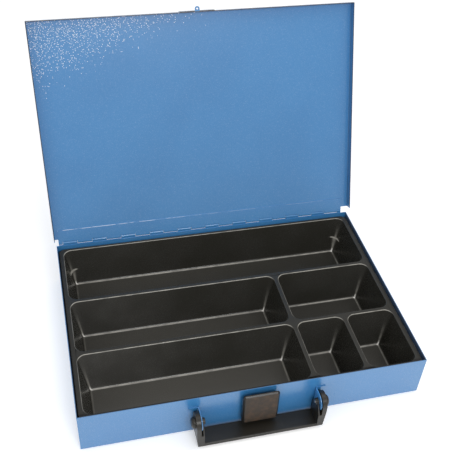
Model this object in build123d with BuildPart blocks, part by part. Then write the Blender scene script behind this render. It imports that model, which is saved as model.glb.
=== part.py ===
from build123d import *
from math import cos, radians, sin, sqrt, tan
import os

os.makedirs("parts", exist_ok=True)

# Steel case, in millimetres
case_width = 336.0
case_depth = 230.0
case_height = 49.0
sheet = 0.8
bend_radius = 1.6

# Steel lid, which laps over the case on three sides
lid_play = 1.05
lid_lift = 1.0
lid_flange = 8.3
lid_bend_radius = 1.4
lid_open_angle = 111.0
lid_edge_to_pin = 4.6

# Piano hinge, rolled from two strips round one pin
leaf = 0.8
hinge_pin_radius = 1.0
pin_play = 0.05
hinge_length = 326.5
hinge_shift = -2.15
knuckle_pairs = 10
left_stub = 4.5
right_stub = 4.4
knuckle_gap = 0.2
roll_gap = 0.25
cutout_clearance = 0.3
case_leaf_drop = 14.0
lid_leaf_reach = 15.0

# Formed insert with six compartments
insert_wall = 1.0
insert_play = 0.9
insert_height = 44.2
rim_width = 4.8
rim_width_front = 3.3
rim_skirt = 6.0
rim_edge_cut = 1.0
rim_corner = 6.0
divider = 4.2
cell_edge_cut = 0.9
cell_corner = 8.5
cell_foot_radius = 4.0
cell_draft = 11.0
long_cell_share = 0.667
back_row = 75.2
middle_row = 66.7
ledge_height = 21.0
ledge_corner = 14.0

# Carrying handle and the two ears that hold it
handle_shift = -1.2
handle_reach = 11.4
handle_axis_height = 29.0
ear_place = 57.1
ear_sheet = 1.0
ear_bend = 1.0
ear_radius = 8.5
ear_root_rise = 7.5
ear_root_drop = 8.5
foot_plate_width = 10.0
arm_half_depth = 9.8
arm_inside = 54.9
arm_outside = 62.4
arm_foot_outside = 60.8
arm_foot_radius = 3.5
arm_taper_drop = 7.0
inner_cheek_radius = 3.6
inner_boss_radius = 3.2
inner_boss_height = 1.6
ear_slot_play = 0.5
ear_slot_drop = 1.5
hub_radius = 5.6
hub_height = 3.8
hub_round = 2.8
grip_bottom = 0.9
grip_thickness = 4.8
grip_wall = 1.6
grip_bottom_radius = 3.0
grip_top_radius = 1.6
hollow_corner = 2.5
handle_pin_radius = 1.5
handle_pin_proud = 0.3
blind_end = 1.0

# Snap latch: a lever on a small bracket, pressed shut by a leaf spring
latch_width = 35.0
latch_over_tongue = 5.9
latch_bottom = 9.8
latch_top_reach = 8.15
latch_foot_reach = 9.25
latch_corner = 2.4
latch_bevel = 1.6
latch_back = 3.4
latch_top_back = 5.4
latch_toe_back = 6.0
latch_toe_height = 14.2
latch_neck_under_tongue = 1.2
latch_side_wall = 1.6
latch_pocket_reach = 7.4
latch_pocket_over_tongue = 4.3
latch_pocket_bottom = 11.8
latch_axis_reach = 4.6
latch_axis_height = 17.0
latch_pin_radius = 1.25
latch_boss_radius = 2.6
latch_boss_inside = 15.3
latch_pin_recess = 0.6
stop_rib_place = 10.0
stop_rib_width = 1.6
stop_rib_bottom = 31.8
stop_rib_top = 35.5
stop_rib_play = 0.1
nose_width = 12.0
nose_depth = 3.0
nose_play = 0.4
nose_lip = 0.6
housing_plate = 1.6
housing_width = 30.0
housing_bottom = 9.2
housing_top = 37.0
cheek_sheet = 2.0
cheek_radius = 2.35
spring_sheet = 0.4
spring_width = 22.0
spring_top = 31.2
spring_bend_height = 15.3
spring_toe_height = 12.9
spring_toe_reach = 7.2
rivet_radius = 1.6
rivet_head_radius = 3.0
rivet_head = 1.2
rivet_tail_radius = 2.6
rivet_tail = 1.0
rivet_spacing = 15.0
rivet_height = 27.0

# Keeper on the lid's front flange, with the tongue the lever hooks over
keeper_width = 36.0
keeper_sheet = 0.8
keeper_top = 1.2
tongue_length = 5.2
tongue_width = 5.0
tongue_hole_radius = 0.9

# Places that follow from the sizes above
front_face = -case_depth / 2
back_face = case_depth / 2
knuckle_bore = hinge_pin_radius + pin_play
knuckle_radius = knuckle_bore + leaf
pin_y = back_face + knuckle_radius
pin_z = case_height + lid_lift + knuckle_bore
lid_inner_face = pin_z - case_height - lid_lift
lid_outer_face = lid_inner_face - sheet
flange_edge = lid_inner_face + lid_flange
lid_length = pin_y - front_face + lid_play + sheet
lid_outer_width = case_width + 2 * (lid_play + sheet)
tongue_top_height = pin_z - flange_edge
latch_top = tongue_top_height + latch_over_tongue
latch_neck_height = tongue_top_height - latch_neck_under_tongue
latch_pocket_top = tongue_top_height + latch_pocket_over_tongue
hinge_left = hinge_shift - hinge_length / 2
hinge_right = hinge_shift + hinge_length / 2
knuckle_pitch = (hinge_length - left_stub - right_stub) / knuckle_pairs

# The lid's own plane: X across, Y from the pin to the lid's front, Z into the case
lid_plane = Plane(
    origin=(0, pin_y, pin_z),
    x_dir=(1, 0, 0),
    z_dir=(0, -sin(radians(lid_open_angle)), -cos(radians(lid_open_angle))),
)
lid_inward = Axis(lid_plane.origin, lid_plane.z_dir)
lid_forward = Axis(lid_plane.origin, lid_plane.y_dir)


def save(part, name):
    """Labels a finished piece and writes it under its own name."""
    part.label = name
    export_step(part, f"parts/{name}.step")
    print(f"{name}: {len(part.solids())} solids, {part.volume:.0f} cubic mm")


def across(x):
    """Sketch plane across the box at x: its X runs to the back, its Y runs up."""
    return Plane.YZ.offset(x)


def on_front(reach):
    """Sketch plane in front of the case's front wall, facing forward."""
    return Plane.XZ.offset(reach - front_face)


def out(reach):
    """The y of a point in front of the front wall."""
    return front_face - reach


# Case: one folded sheet, open above, with two rivet holes for the latch
with BuildPart() as case_shell:
    with BuildSketch():
        Rectangle(case_width, case_depth)
    extrude(amount=case_height)
    fillet(case_shell.faces().sort_by(Axis.Z)[0].edges(), bend_radius)
    offset(amount=-sheet, openings=case_shell.faces().sort_by(Axis.Z)[-1])
    with BuildSketch(on_front(0)):
        with Locations((-rivet_spacing / 2, rivet_height), (rivet_spacing / 2, rivet_height)):
            Circle(rivet_radius)
    extrude(amount=-sheet, mode=Mode.SUBTRACT)
save(case_shell.part, "case_shell")


# Lid: one folded sheet with a flange at the front and at both sides
with BuildPart() as lid_shell:
    with BuildSketch(lid_plane.offset(lid_outer_face)):
        with Locations((0, lid_edge_to_pin)):
            Rectangle(lid_outer_width, lid_length - lid_edge_to_pin, align=(Align.CENTER, Align.MIN))
    extrude(amount=flange_edge - lid_outer_face)
    lid_top_face = lid_shell.faces().sort_by(lid_inward)[0]
    fillet(lid_top_face.edges().sort_by(lid_forward)[1:], lid_bend_radius)
    hinge_side = lid_shell.faces().sort_by(lid_forward)[0]
    open_side = lid_shell.faces().sort_by(lid_inward)[-1]
    offset(amount=-sheet, openings=[hinge_side, open_side])
save(lid_shell.part, "lid_shell")


# Keeper: a strip on the lid's front flange, with a round-ended tongue bent forward
with BuildPart() as lid_keeper:
    with BuildSketch(lid_plane.offset(lid_inner_face + keeper_top)):
        with Locations((0, lid_length)):
            Rectangle(keeper_width, keeper_sheet, align=(Align.CENTER, Align.MIN))
    extrude(amount=lid_flange - keeper_top)
    with BuildSketch(lid_plane.offset(flange_edge)):
        with Locations((0, lid_length)):
            Rectangle(tongue_width, tongue_length - tongue_width / 2, align=(Align.CENTER, Align.MIN))
        with Locations((0, lid_length + tongue_length - tongue_width / 2)):
            Circle(tongue_width / 2)
            Circle(tongue_hole_radius, mode=Mode.SUBTRACT)
    extrude(amount=keeper_sheet)
save(lid_keeper.part, "lid_keeper")


# Piano hinge: both leaves are rolled strips, cut away where the other one's knuckles are
knuckle_starts = [hinge_left + left_stub + knuckle_pitch * pair for pair in range(knuckle_pairs)]
half_pitch = knuckle_pitch / 2
case_knuckles = [(start, start + half_pitch) for start in knuckle_starts]
case_knuckles.append((hinge_right - right_stub, hinge_right + knuckle_gap))
lid_knuckles = [(start + half_pitch, start + knuckle_pitch) for start in knuckle_starts]
lid_knuckles.append((hinge_left - knuckle_gap, hinge_left + left_stub))
cutout_depth = sqrt((knuckle_radius + cutout_clearance) ** 2 - knuckle_bore**2)


def mirrored(spans):
    """The same spans for a plane whose X runs the other way."""
    return [(-end, -start) for start, end in spans]


def rolled_leaf(plane, centre, reach, bore, own_knuckles, other_knuckles):
    """Adds a hinge leaf: the pin lies along the plane's X and the strip runs along its Y."""
    side = Plane(origin=plane.origin, x_dir=plane.y_dir, z_dir=plane.x_dir)
    for start, end in own_knuckles:
        with BuildSketch(side.offset(start + knuckle_gap)) as ring:
            Circle(knuckle_radius)
            Circle(bore, mode=Mode.SUBTRACT)
            with Locations((knuckle_radius, knuckle_bore)):
                Rectangle(knuckle_radius, roll_gap, align=(Align.CENTER, Align.MAX), mode=Mode.SUBTRACT)
        extrude(ring.sketch, amount=end - start - 2 * knuckle_gap)
    with BuildSketch(plane.offset(knuckle_bore)) as strip:
        with Locations((centre, 0)):
            Rectangle(hinge_length, reach, align=(Align.CENTER, Align.MIN))
        for start, end in other_knuckles:
            with Locations(((start + end) / 2, 0)):
                Rectangle(end - start + knuckle_gap, 2 * cutout_depth, mode=Mode.SUBTRACT)
    extrude(strip.sketch, amount=leaf)


with BuildPart() as hinge_lid_leaf:
    rolled_leaf(lid_plane, hinge_shift, lid_leaf_reach, knuckle_bore, lid_knuckles, case_knuckles)
save(hinge_lid_leaf.part, "hinge_lid_leaf")

# The case's leaf is spot-welded to the back wall and grips the pin, so its X runs the other way
case_leaf_plane = Plane(origin=(0, pin_y, pin_z), x_dir=(-1, 0, 0), z_dir=(0, -1, 0))
with BuildPart() as hinge_case_leaf:
    rolled_leaf(
        case_leaf_plane,
        -hinge_shift,
        case_leaf_drop,
        hinge_pin_radius,
        mirrored(case_knuckles),
        mirrored(lid_knuckles),
    )
save(hinge_case_leaf.part, "hinge_case_leaf")

with BuildPart() as hinge_pin:
    with BuildSketch(across(hinge_left + knuckle_gap)):
        with Locations((pin_y, pin_z)):
            Circle(hinge_pin_radius)
    extrude(amount=hinge_length - 2 * knuckle_gap)
save(hinge_pin.part, "hinge_pin")


# Insert: six tapered tubs hung from one flat rim, all from the same formed sheet
rim_half_width = case_width / 2 - sheet - insert_play
rim_half_depth = case_depth / 2 - sheet - insert_play
rim_top = sheet + insert_height
cells_left = -rim_half_width + rim_width
cells_right = rim_half_width - rim_width
cells_front = -rim_half_depth + rim_width_front
cells_back = rim_half_depth - rim_width_front
back_front = cells_back - back_row
middle_back = back_front - divider
middle_front = middle_back - middle_row
front_back = middle_front - divider
long_right = cells_left + long_cell_share * (cells_right - cells_left)
group_left = long_right + divider
half_width = (cells_right - group_left - divider) / 2
flat_cut_share = 2 - 2**0.5

back_cell = (cells_left, back_front, cells_right, cells_back)
plain_cells = [
    (cells_left, middle_front, long_right, middle_back),
    (group_left, middle_front, cells_right, middle_back),
    (cells_left, cells_front, long_right, front_back),
    (group_left, cells_front, group_left + half_width, front_back),
    (cells_right - half_width, cells_front, cells_right, front_back),
]


def round_or_cut(edges, radius, grow):
    """Rounds a tub's inside edges; outside, where nobody looks, a flat cut touches the same arc."""
    if grow:
        chamfer(edges, (radius + grow) * flat_cut_share)
    else:
        fillet(edges, radius)


def narrowing_block(cell, grow, height, inset):
    """Adds a block under the rim that narrows downwards by inset on each side."""
    left, front, right, back = cell
    width = right - left + 2 * grow
    depth = back - front + 2 * grow
    with Locations(((left + right) / 2, (front + back) / 2, rim_top)):
        Wedge(
            width,
            height,
            depth,
            inset,
            inset,
            width - inset,
            depth - inset,
            rotation=(-90, 0, 0),
            align=(Align.CENTER, Align.MIN, Align.CENTER),
        )


def tub(cell, grow, back_corner=cell_corner):
    """One tapered tub as a closed solid; grow is 0 for its inside, or the sheet for its outside."""
    height = insert_height - insert_wall + grow
    with BuildPart() as body:
        narrowing_block(cell, grow, height, height * tan(radians(cell_draft)))
        for radius, chosen in ((cell_corner, slice(0, 2)), (back_corner, slice(-2, None))):
            corners = body.edges().filter_by(Plane.XY, reverse=True).sort_by(Axis.Y)[chosen]
            round_or_cut(corners, radius, grow)
        round_or_cut(body.faces().sort_by(Axis.Z)[0].edges(), cell_foot_radius, grow)
    return body.part


def mouth(cell):
    """The broken edge round a compartment's mouth, as a closed solid to cut with."""
    with BuildPart() as body:
        narrowing_block(cell, cell_edge_cut, cell_edge_cut, cell_edge_cut)
        fillet(body.edges().filter_by(Plane.XY, reverse=True), cell_corner + cell_edge_cut)
    return body.part


def ledged_tub(cell, grow):
    """The large tub, whose back corners step in to a bigger radius below a ledge."""
    above_ledge = tub(cell, grow).split(Plane.XY.offset(ledge_height - grow), keep=Keep.TOP)
    return tub(cell, grow, ledge_corner) + above_ledge


outer_tubs = [tub(cell, insert_wall) for cell in plain_cells] + [ledged_tub(back_cell, insert_wall)]
inner_tubs = [tub(cell, 0) for cell in plain_cells] + [ledged_tub(back_cell, 0)]

with BuildPart() as insert_tray:
    with BuildSketch(Plane.XY.offset(rim_top - rim_skirt)):
        RectangleRounded(2 * rim_half_width, 2 * rim_half_depth, rim_corner)
    extrude(amount=rim_skirt)
    chamfer(insert_tray.faces().sort_by(Axis.Z)[-1].edges(), rim_edge_cut)
    offset(amount=-insert_wall, openings=insert_tray.faces().sort_by(Axis.Z)[0])
    add(outer_tubs)
    add(inner_tubs, mode=Mode.SUBTRACT)
    add([mouth(cell) for cell in plain_cells + [back_cell]], mode=Mode.SUBTRACT)
save(insert_tray.part, "insert_tray")


# The handle and its ears sit a little to the left of the latch
def beside_latch(part):
    """The same piece, moved by the handle's shift."""
    return part.moved(Location((handle_shift, 0, 0)))


# Ears: one left and one right, each a bent sheet with its foot welded to the front wall
def handle_ear(side):
    """The ear on one side; side is -1 on the left and 1 on the right."""
    inner_x = ear_place - ear_sheet / 2
    axis = (out(handle_reach), handle_axis_height)
    with BuildPart() as ear:
        # The bent strip, seen from above
        with BuildSketch() as strip:
            with Locations((inner_x, front_face)):
                Rectangle(foot_plate_width, ear_sheet, align=(Align.MIN, Align.MAX))
                Rectangle(ear_sheet, handle_reach + ear_radius, align=(Align.MIN, Align.MAX))
            hollow_side = (inner_x + ear_sheet, out(ear_sheet), 0)
            fillet(strip.vertices().sort_by_distance(hollow_side)[0], ear_bend)
            round_side = (inner_x, front_face, 0)
            fillet(strip.vertices().sort_by_distance(round_side)[0], ear_bend + ear_sheet)
        extrude(amount=handle_axis_height + ear_radius)

        # Its outline, seen from the side
        with BuildSketch(across(inner_x)):
            with Locations(axis):
                Circle(ear_radius)
            with Locations((front_face, handle_axis_height + ear_root_rise)):
                Rectangle(ear_sheet, ear_root_rise + ear_root_drop, align=(Align.MAX, Align.MAX))
            make_hull()
        extrude(amount=foot_plate_width, mode=Mode.INTERSECT)
        with BuildSketch(across(inner_x)):
            with Locations(axis):
                Circle(handle_pin_radius + pin_play)
        extrude(amount=ear_sheet, mode=Mode.SUBTRACT)
    return beside_latch(ear.part if side > 0 else mirror(ear.part, about=Plane.YZ))


save(handle_ear(-1), "handle_ear_left")
save(handle_ear(1), "handle_ear_right")


# Handle: a grip between two arms, each arm split into two cheeks that straddle an ear
axis_point = (out(handle_reach), handle_axis_height)
arm_length = handle_axis_height - grip_bottom
slot_inside = ear_place - ear_sheet / 2 - ear_slot_play
slot_outside = ear_place + ear_sheet / 2 + ear_slot_play
slot_bottom = handle_axis_height - ear_radius - ear_slot_drop
boss_inside = arm_inside - inner_boss_height
hub_outside = arm_outside + hub_height
taper_top = handle_axis_height - arm_taper_drop
clearing = 4 * arm_half_depth

with BuildPart() as handle:
    with BuildSketch(across(-arm_outside)) as arm_side:
        with Locations(axis_point):
            Circle(arm_half_depth)
            Rectangle(2 * arm_half_depth, arm_length, align=(Align.CENTER, Align.MAX))
        fillet(arm_side.vertices().group_by(Axis.Y)[0], grip_bottom_radius)
    extrude(amount=2 * arm_outside)

    # Seen from the front, the arms lean in towards the grip and end in rounded corners
    with BuildSketch(on_front(0)) as front_outline:
        with BuildLine():
            Polyline(
                (-arm_outside, handle_axis_height + arm_half_depth),
                (-arm_outside, taper_top),
                (-arm_foot_outside, grip_bottom),
                (arm_foot_outside, grip_bottom),
                (arm_outside, taper_top),
                (arm_outside, handle_axis_height + arm_half_depth),
                close=True,
            )
        make_face()
        fillet(front_outline.vertices().group_by(Axis.Y)[0], arm_foot_radius)
    extrude(amount=2 * handle_reach, mode=Mode.INTERSECT)

    # The gap for the fingers, which leaves the grip with its rounded front
    with BuildSketch(across(-arm_inside)) as around_grip:
        with Locations((axis_point[0], grip_bottom)):
            Rectangle(clearing, clearing, align=(Align.CENTER, Align.MIN))
        with BuildSketch(across(-arm_inside), mode=Mode.SUBTRACT) as grip_side:
            with Locations((axis_point[0], grip_bottom)):
                Rectangle(2 * arm_half_depth, grip_thickness, align=(Align.CENTER, Align.MIN))
            fillet(grip_side.vertices().group_by(Axis.Y)[0], grip_bottom_radius)
            fillet(grip_side.vertices().group_by(Axis.Y)[-1], grip_top_radius)
    extrude(amount=2 * arm_inside, mode=Mode.SUBTRACT)

    # Inner cheeks, ear slots, hubs, inner bosses and bores, left and right
    for side in (-1, 1):
        inner_cheek = across(side * (arm_inside + slot_inside) / 2)
        half_cheek = (slot_inside - arm_inside) / 2
        with BuildSketch(inner_cheek):
            with Locations((axis_point[0], slot_bottom)):
                Rectangle(clearing, clearing, align=(Align.CENTER, Align.MIN))
        extrude(amount=half_cheek, both=True, mode=Mode.SUBTRACT)
        with BuildSketch(inner_cheek):
            with Locations(axis_point):
                Circle(inner_cheek_radius)
            with Locations((axis_point[0], slot_bottom)):
                Rectangle(2 * arm_half_depth, ear_slot_drop, align=(Align.CENTER, Align.MAX))
            make_hull()
        extrude(amount=half_cheek, both=True)
        with BuildSketch(on_front(0)):
            with Locations((side * ear_place, slot_bottom)):
                Rectangle(slot_outside - slot_inside, clearing, align=(Align.CENTER, Align.MIN))
        extrude(amount=2 * handle_reach, mode=Mode.SUBTRACT)
        with BuildSketch(across(side * arm_outside)):
            with Locations(axis_point):
                Circle(hub_radius)
        extrude(amount=side * hub_height)
        with BuildSketch(across(side * arm_inside)):
            with Locations(axis_point):
                Circle(inner_boss_radius)
        extrude(amount=-side * inner_boss_height)
        with BuildSketch(across(side * boss_inside)):
            with Locations(axis_point):
                Circle(handle_pin_radius)
        extrude(amount=side * (hub_outside - blind_end - boss_inside), mode=Mode.SUBTRACT)

    # The hollow under the grip, and the hubs' rounded ends
    with BuildSketch(Plane.XY.offset(grip_bottom)):
        with Locations((0, axis_point[0])):
            RectangleRounded(
                2 * (arm_inside - grip_wall),
                2 * (arm_half_depth - grip_bottom_radius),
                hollow_corner,
            )
    extrude(amount=grip_thickness - grip_wall, mode=Mode.SUBTRACT)
    hub_ends = handle.edges().filter_by(GeomType.CIRCLE).group_by(Axis.X)
    fillet(hub_ends[0] + hub_ends[-1], hub_round)
save(beside_latch(handle.part), "handle")


def handle_pin(side):
    """The steel pin through one ear, its end a little proud of the inner boss."""
    with BuildPart() as pin:
        with BuildSketch(across(side * (boss_inside - handle_pin_proud))):
            with Locations(axis_point):
                Circle(handle_pin_radius)
        extrude(amount=side * (hub_outside - blind_end - boss_inside + handle_pin_proud))
        shown_end = pin.faces().sort_by(Axis.X)[0 if side > 0 else -1]
        chamfer(shown_end.edges(), handle_pin_proud)
    return beside_latch(pin.part)


save(handle_pin(-1), "handle_pin_left")
save(handle_pin(1), "handle_pin_right")


# Latch housing: a plate on the front wall with two cheeks that carry the lever's pin
latch_axis = (out(latch_axis_reach), latch_axis_height)
with BuildPart() as latch_housing:
    with BuildSketch(on_front(0)):
        with Locations((0, housing_bottom)):
            Rectangle(housing_width, housing_top - housing_bottom, align=(Align.CENTER, Align.MIN))
        with Locations((-rivet_spacing / 2, rivet_height), (rivet_spacing / 2, rivet_height)):
            Circle(rivet_radius, mode=Mode.SUBTRACT)
    extrude(amount=housing_plate)
    for side in (-1, 1):
        with BuildSketch(across(side * housing_width / 2)):
            with Locations(latch_axis):
                Circle(cheek_radius)
                Rectangle(latch_axis_reach, 2 * cheek_radius, align=(Align.MIN, Align.CENTER))
                Circle(latch_pin_radius, mode=Mode.SUBTRACT)
        extrude(amount=-side * cheek_sheet)
save(latch_housing.part, "latch_housing")


def latch_rivet(side):
    """A rivet through spring, housing and front wall, with a low head on both ends."""
    head_start = housing_plate + spring_sheet
    with BuildPart() as rivet:
        with BuildSketch(on_front(head_start)):
            with Locations((side * rivet_spacing / 2, rivet_height)):
                Circle(rivet_head_radius)
        extrude(amount=rivet_head)
        chamfer(rivet.faces().sort_by(Axis.Y)[0].edges(), rivet_head / 2)
        with BuildSketch(on_front(head_start)):
            with Locations((side * rivet_spacing / 2, rivet_height)):
                Circle(rivet_radius)
        extrude(amount=-(head_start + sheet))
        with BuildSketch(on_front(-sheet)):
            with Locations((side * rivet_spacing / 2, rivet_height)):
                Circle(rivet_tail_radius)
        extrude(amount=-rivet_tail)
    return rivet.part


save(latch_rivet(-1), "latch_rivet_left")
save(latch_rivet(1), "latch_rivet_right")


# Latch spring: a strip under the rivets that passes behind the pin and presses the lever's toe
with BuildPart() as latch_spring:
    with BuildSketch(across(-spring_width / 2)) as spring_side:
        with BuildLine():
            Polyline(
                (out(housing_plate), spring_top),
                (out(housing_plate), spring_bend_height),
                (out(latch_axis_reach), spring_toe_height),
                (out(spring_toe_reach), spring_toe_height),
                (out(spring_toe_reach), spring_toe_height + spring_sheet),
                (out(latch_axis_reach + spring_sheet / 2), spring_toe_height + spring_sheet),
                (out(housing_plate + spring_sheet), spring_bend_height + spring_sheet / 2),
                (out(housing_plate + spring_sheet), spring_top),
                close=True,
            )
        make_face()
    extrude(amount=spring_width)
    with BuildSketch(on_front(0)):
        with Locations((-rivet_spacing / 2, rivet_height), (rivet_spacing / 2, rivet_height)):
            Circle(rivet_radius)
    extrude(amount=latch_pocket_reach, mode=Mode.SUBTRACT)
save(latch_spring.part, "latch_spring")

with BuildPart() as latch_pin:
    latch_pin_half = latch_width / 2 - latch_pin_recess
    with BuildSketch(across(-latch_pin_half)):
        with Locations(latch_axis):
            Circle(latch_pin_radius)
    extrude(amount=2 * latch_pin_half)
save(latch_pin.part, "latch_pin")


# Latch lever: a hollow moulding with a bevelled face, a hooked nose inside and two bosses
with BuildPart() as latch_lever:
    with BuildSketch(across(-latch_width / 2)):
        with BuildLine():
            Polyline(
                (out(latch_back), latch_toe_height),
                (out(latch_back), latch_neck_height),
                (out(latch_top_back), latch_neck_height + latch_top_back - latch_back),
                (out(latch_top_back), latch_top),
                (out(latch_top_reach), latch_top),
                (out(latch_foot_reach), latch_bottom),
                (out(latch_toe_back), latch_bottom),
                close=True,
            )
        make_face()
    extrude(amount=latch_width)
    fillet(latch_lever.edges().filter_by(Axis.Y), latch_corner)
    chamfer(latch_lever.faces().sort_by(Axis.Y)[0].edges(), latch_bevel)

    # The pocket behind the face
    pocket_half = latch_width / 2 - latch_side_wall
    with BuildSketch(on_front(0)):
        with Locations((0, latch_pocket_bottom)):
            Rectangle(2 * pocket_half, latch_pocket_top - latch_pocket_bottom, align=(Align.CENTER, Align.MIN))
    extrude(amount=latch_pocket_reach, mode=Mode.SUBTRACT)

    # Bosses for the pin
    for side in (-1, 1):
        with BuildSketch(across(side * latch_boss_inside)):
            with Locations(latch_axis):
                Circle(latch_boss_radius)
        extrude(amount=side * (latch_width / 2 - latch_boss_inside))
    with BuildSketch(across(-latch_width / 2)):
        with Locations(latch_axis):
            Circle(latch_pin_radius + pin_play)
    extrude(amount=latch_width, mode=Mode.SUBTRACT)

    # The nose: flat underneath to hold the tongue, sloping on top to let it snap past
    nose_bottom = tongue_top_height + nose_play
    nose_back = latch_pocket_reach - nose_depth
    with BuildSketch(across(-nose_width / 2)):
        with BuildLine():
            Polyline(
                (out(latch_pocket_reach), nose_bottom),
                (out(nose_back), nose_bottom),
                (out(nose_back), nose_bottom + nose_lip),
                (out(latch_pocket_reach), nose_bottom + nose_lip + nose_depth),
                close=True,
            )
        make_face()
    extrude(amount=nose_width)

    # Two ribs that rest on the housing plate when the lever is shut
    for side in (-1, 1):
        with BuildSketch(across(side * stop_rib_place)):
            with Locations((out(latch_pocket_reach), stop_rib_bottom)):
                Rectangle(
                    latch_pocket_reach - housing_plate - stop_rib_play,
                    stop_rib_top - stop_rib_bottom,
                    align=(Align.MIN, Align.MIN),
                )
        extrude(amount=stop_rib_width / 2, both=True)
save(latch_lever.part, "latch_lever")
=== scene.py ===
"""Looks of the steel assortment box: finishes, softened pieces, fittings, studio and camera."""

from __future__ import annotations

import logging
from dataclasses import dataclass
from enum import Enum
from math import cos, radians, sin, tan
from typing import Callable, Iterable, Union

import bpy
from mathutils import Matrix, Vector

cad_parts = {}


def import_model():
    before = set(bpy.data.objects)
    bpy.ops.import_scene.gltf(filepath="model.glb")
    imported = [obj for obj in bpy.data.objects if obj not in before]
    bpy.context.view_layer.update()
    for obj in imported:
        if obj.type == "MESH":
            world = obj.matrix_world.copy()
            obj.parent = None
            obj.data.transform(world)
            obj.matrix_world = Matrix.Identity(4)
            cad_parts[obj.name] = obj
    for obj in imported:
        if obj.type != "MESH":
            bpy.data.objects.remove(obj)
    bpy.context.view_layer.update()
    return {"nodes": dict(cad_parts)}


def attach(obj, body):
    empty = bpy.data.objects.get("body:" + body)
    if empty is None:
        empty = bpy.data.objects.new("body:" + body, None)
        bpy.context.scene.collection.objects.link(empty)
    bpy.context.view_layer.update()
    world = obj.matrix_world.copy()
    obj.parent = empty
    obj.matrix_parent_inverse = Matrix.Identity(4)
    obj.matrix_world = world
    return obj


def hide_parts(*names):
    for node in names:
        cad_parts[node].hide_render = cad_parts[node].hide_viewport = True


LOG = logging.getLogger("assortment_box")
MILLIMETRE = 0.001
CORNER_MARK = "corner"
Number = Union[int, float]
Colour = tuple[float, float, float]
Span = tuple[float, float]
Band = tuple[float, float, float, float]
Cell = tuple[float, float, float, float]
Point = tuple[float, float, float]


def srgb(red: Number, green: Number, blue: Number) -> Colour:
    """Turn a colour of 0 to 255 on screen into the shader's linear colour.

    Args:
        red: Red on screen.
        green: Green on screen.
        blue: Blue on screen.

    Returns:
        The linear colour.
    """

    def linear(channel: Number) -> float:
        """Undo the screen's curve for one channel."""
        part = channel / 255
        return part / 12.92 if part <= 0.04045 else ((part + 0.055) / 1.055) ** 2.4

    return (linear(red), linear(green), linear(blue))


# Shader writing


@dataclass(frozen=True)
class Flow:
    """A number inside a shader; Python's operators on it add Math nodes."""

    shader: "Shader"
    socket: bpy.types.NodeSocket

    def _math(self, operation: str, first: "Flow | Number", second: "Flow | Number") -> "Flow":
        """Add one Math node.

        Args:
            operation: The Math node's operation.
            first: Its first value.
            second: Its second value.

        Returns:
            The node's result.
        """
        return self.shader.node("Math", {"operation": operation}, {0: first, 1: second})

    def __add__(self, other: "Flow | Number") -> "Flow":
        """Self plus other."""
        return self._math("ADD", self, other)

    def __radd__(self, other: Number) -> "Flow":
        """Other plus self."""
        return self._math("ADD", other, self)

    def __sub__(self, other: "Flow | Number") -> "Flow":
        """Self minus other."""
        return self._math("SUBTRACT", self, other)

    def __rsub__(self, other: Number) -> "Flow":
        """Other minus self."""
        return self._math("SUBTRACT", other, self)

    def __mul__(self, other: "Flow | Number") -> "Flow":
        """Self times other."""
        return self._math("MULTIPLY", self, other)

    def __rmul__(self, other: Number) -> "Flow":
        """Other times self."""
        return self._math("MULTIPLY", other, self)

    def __gt__(self, other: "Flow | Number") -> "Flow":
        """1 where self is above other."""
        return self._math("GREATER_THAN", self, other)

    def __lt__(self, other: "Flow | Number") -> "Flow":
        """1 where self is below other."""
        return self._math("LESS_THAN", self, other)

    def __abs__(self) -> "Flow":
        """Self without its sign."""
        return self._math("ABSOLUTE", self, 0)

    def between(self, low: Number, high: Number) -> "Flow":
        """A soft step from 0 at low to 1 at high.

        Args:
            low: Where the step starts.
            high: Where the step ends.

        Returns:
            The step, kept within 0 and 1.
        """
        settings = {"interpolation_type": "SMOOTHSTEP", "clamp": True}
        return self.shader.node("MapRange", settings, {"Value": self, "From Min": low, "From Max": high})

    def past(self, low: Number, high: Number) -> "Flow":
        """The same soft step, for a length.

        Args:
            low: Where the step starts, in millimetres.
            high: Where the step ends, in millimetres.

        Returns:
            The step, kept within 0 and 1.
        """
        return self.between(low * MILLIMETRE, high * MILLIMETRE)

    def within(self, start: Number, full: Number, last: Number, end: Number) -> "Flow":
        """A strip with soft sides, for a length.

        Args:
            start: Where the strip starts, in millimetres.
            full: Where it is full, in millimetres.
            last: Where it is still full, in millimetres.
            end: Where it ends, in millimetres.

        Returns:
            1 inside the strip, 0 outside.
        """
        return self.past(start, full) * (1 - self.past(last, end))


Input = Union[Flow, Number, tuple]


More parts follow.
